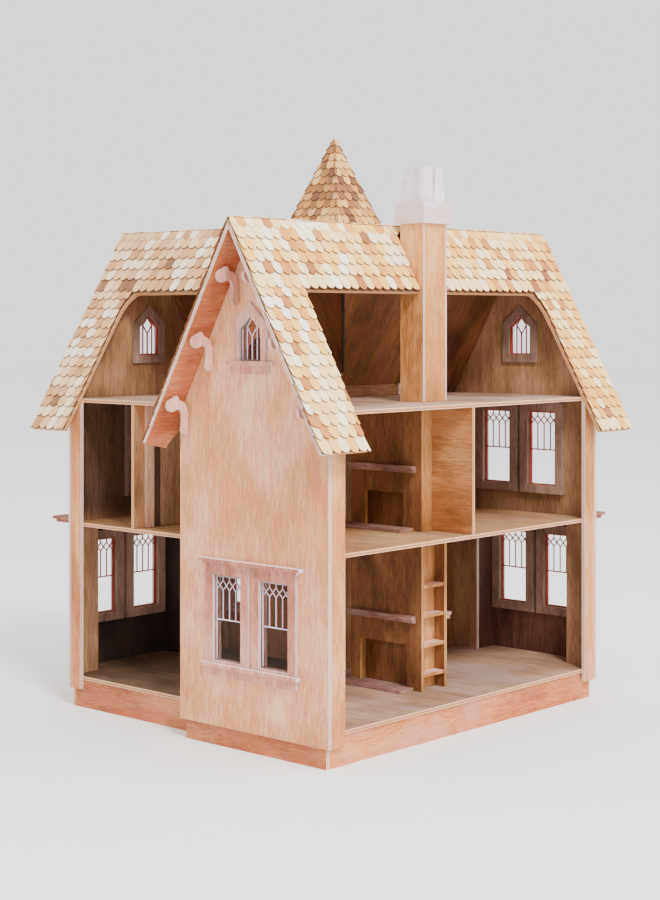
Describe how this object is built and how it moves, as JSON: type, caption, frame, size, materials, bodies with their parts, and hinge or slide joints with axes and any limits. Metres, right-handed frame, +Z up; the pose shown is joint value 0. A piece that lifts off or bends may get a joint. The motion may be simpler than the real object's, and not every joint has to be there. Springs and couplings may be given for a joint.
{
  "type": "dollhouse",
  "caption": "Open-sided wooden dollhouse of plywood boards with three shingled gables, a spired corner tower, a chimney with fireplaces, box bays and a front door that opens.",
  "frame": {"origin": "middle of the house's outline on the ground", "axes": "+X along the main ridge from the lone near gable to the far gable, +Y towards the wing's gable, +Z up"},
  "size_m": [0.4258, 0.3878, 0.513],
  "materials": {
    "panel_wood": "unfinished pink-tan plywood",
    "inner_wood": "unfinished brown plywood",
    "floor_wood": "pale unfinished plywood",
    "base_wood": "unfinished orange-tan plywood",
    "trim_wood": "pale pink die-cut plywood",
    "shingle_wood": "mixed cream, tan and brown shingles",
    "white_wood": "whitened plywood",
    "clear_sheet": "clear printed plastic sheet"
  },
  "bodies": {
    "house": {"attic_window_frame_a": "trim_wood", "base_board_gable_a": "base_wood", "base_board_open_side": "base_wood", "base_board_wing_side": "base_wood", "base_boards_back": "base_wood", "bay_b_roof": "trim_wood", "bay_b_walls": "inner_wood", "bay_c_roof": "trim_wood", "bay_c_walls": "inner_wood", "bookcase": "trim_wood", "chimney_breast_1": "inner_wood", "chimney_breast_2": "inner_wood", "chimney_cap": "white_wood", "chimney_pot_far": "white_wood", "chimney_pot_near": "white_wood", "chimney_stack": "panel_wood", "facade_wall_main": "panel_wood", "facade_wall_wing": "panel_wood", "floor_1": "floor_wood", "floor_2": "floor_wood", "floor_3": "floor_wood", "gable_a": "panel_wood", "gable_b": "inner_wood", "gable_c": "inner_wood", "hearth_1": "trim_wood", "hearth_2": "trim_wood", "mantel_1_far": "trim_wood", "mantel_1_near": "trim_wood", "mantel_2_far": "trim_wood", "mantel_2_near": "trim_wood", "partition_main": "inner_wood", "partition_wing": "inner_wood", "return_wall": "inner_wood", "roof_main_far": "inner_wood", "roof_main_near": "inner_wood", "roof_main_open": "inner_wood", "roof_wing_far": "inner_wood", "roof_wing_open": "inner_wood", "scroll_bracket_far_1": "trim_wood", "scroll_bracket_far_2": "trim_wood", "scroll_bracket_far_3": "trim_wood", "scroll_bracket_near_1": "trim_wood", "scroll_bracket_near_2": "trim_wood", "scroll_bracket_near_3": "trim_wood", "shingles_main": "shingle_wood", "shingles_wing": "shingle_wood", "spire_boards": "inner_wood", "spire_shingles": "shingle_wood", "tower_base": "base_wood", "tower_wall_front": "panel_wood", "tower_wall_inner": "inner_wood", "tower_wall_side": "panel_wood", "wall_strip_a": "panel_wood", "wall_strip_b": "panel_wood", "wall_strip_c": "panel_wood", "window_crown_a": "trim_wood", "window_frame_a": "trim_wood", "window_pane_a": "clear_sheet", "window_sill_a": "trim_wood"},
    "door": {"front_door": "trim_wood"}
  },
  "joints": [
    {"name": "front_door_hinge", "type": "hinge", "parent": "house", "child": "door", "pos_m": [0.02235, 0.0669, 0.028], "axis": [0, 0, 1], "range_deg": [0, 100]}
  ]
}
